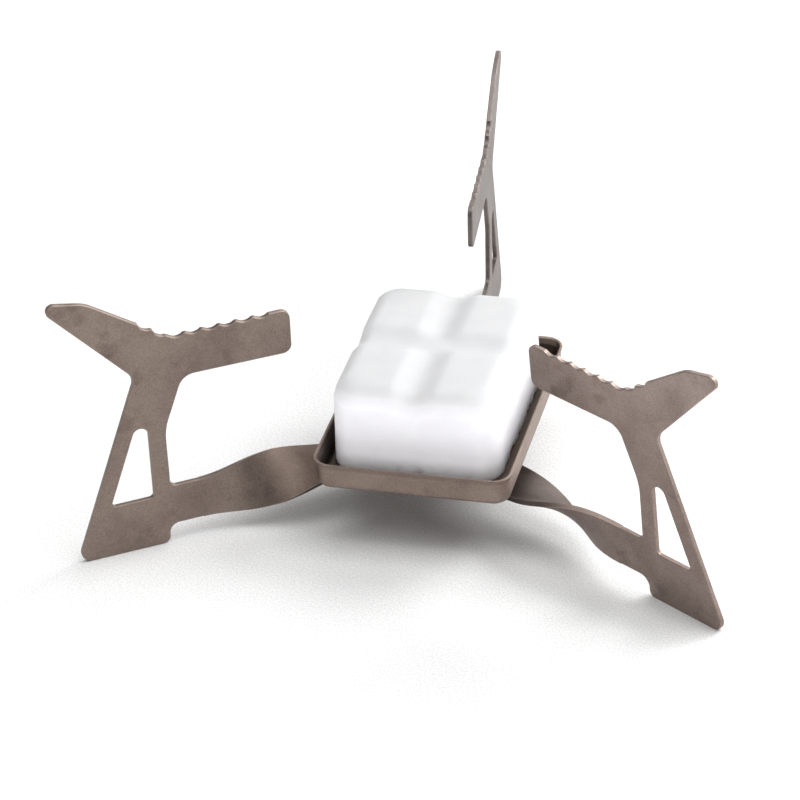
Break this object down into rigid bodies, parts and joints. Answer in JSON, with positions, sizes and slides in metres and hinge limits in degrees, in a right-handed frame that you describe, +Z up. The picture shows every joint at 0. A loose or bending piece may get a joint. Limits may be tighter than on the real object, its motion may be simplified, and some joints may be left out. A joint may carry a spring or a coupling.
{
  "type": "folding solid fuel stove",
  "caption": "Folding titanium stove: twisted sheet legs with notched pot rests turn on a rivet under a shallow tray that holds a pressed fuel tablet.",
  "frame": {"origin": "middle of the footprint's bounding box, on the surface the feet stand on", "axes": "+Z up, +Y along the tray's long side towards the rear leg, +X to the right seen from the front"},
  "size_m": [0.0982, 0.09, 0.0441],
  "materials": {
    "titanium_sheet": "bead-blasted titanium, satin",
    "titanium_tray": "pressed titanium, satin",
    "rivet_steel": "bright stainless steel",
    "pressed_fuel": "white pressed hexamine, matt and slightly waxy"
  },
  "bodies": {
    "tray": {"tray": "titanium_tray", "pivot_rivet": "rivet_steel", "clench_washer": "rivet_steel"},
    "rear_leg": {"rear_leg": "titanium_sheet"},
    "left_leg": {"left_leg": "titanium_sheet"},
    "right_leg": {"right_leg": "titanium_sheet"},
    "fuel_tablet": {"fuel_tablet": "pressed_fuel"}
  },
  "joints": [
    {"name": "tray_swivel", "type": "hinge", "parent": "tray", "child": "rear_leg", "pos_m": [0.00068, -0.01261, 0], "axis": [0, 0, 1], "continuous": true},
    {"name": "left_leg_swing", "type": "hinge", "parent": "rear_leg", "child": "left_leg", "pos_m": [0.00068, -0.01261, 0], "axis": [0, 0, 1], "range_deg": [-114, 35]},
    {"name": "right_leg_swing", "type": "hinge", "parent": "rear_leg", "child": "right_leg", "pos_m": [0.00068, -0.01261, 0], "axis": [0, 0, 1], "range_deg": [-39, 123.4]},
    {"name": "tablet_lift", "type": "slide", "parent": "tray", "child": "fuel_tablet", "axis": [0, 0, 1], "range_m": [0, 0.03]}
  ]
}
